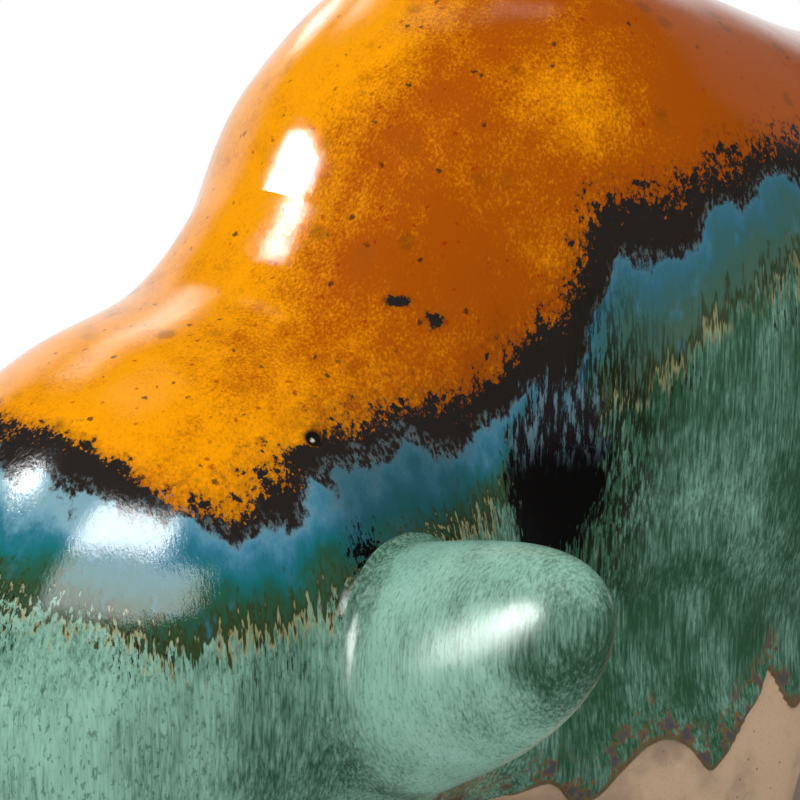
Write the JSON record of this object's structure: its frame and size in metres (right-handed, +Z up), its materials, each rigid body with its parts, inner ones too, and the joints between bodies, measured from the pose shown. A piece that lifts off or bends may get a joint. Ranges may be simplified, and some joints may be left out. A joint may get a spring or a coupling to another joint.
{
  "type": "ceramic bull figurine",
  "caption": "Standing glazed ceramic bull with a high hump, a lowered head, blunt horns spread to the sides, stout legs with flat soles and a tail pressed on along the rump.",
  "frame": {"origin": "on the table, under the middle of the whole figure", "axes": "-X the way the muzzle points, +Z up, the bull's left side faces -Y"},
  "size_m": [0.2582, 0.1704, 0.1683],
  "materials": {
    "body_glaze": "thick glossy glaze, burnt orange running through black and turquoise into celadon green",
    "head_glaze": "thick glossy glaze, orange crown, black and turquoise band, celadon green face",
    "horn_glaze": "glossy celadon green glaze with fine darker streaks",
    "tail_glaze": "thick glossy glaze, burnt orange running to green",
    "leg_glaze_and_clay": "bare buff clay below the drips of green glaze"
  },
  "bodies": {
    "root": {"body_shell": "body_glaze", "head_shell": "head_glaze", "left_horn": "horn_glaze", "right_horn": "horn_glaze", "left_front_leg": "leg_glaze_and_clay", "right_front_leg": "leg_glaze_and_clay", "left_rear_leg": "leg_glaze_and_clay", "right_rear_leg": "leg_glaze_and_clay", "tail": "tail_glaze"}
  },
  "joints": []
}
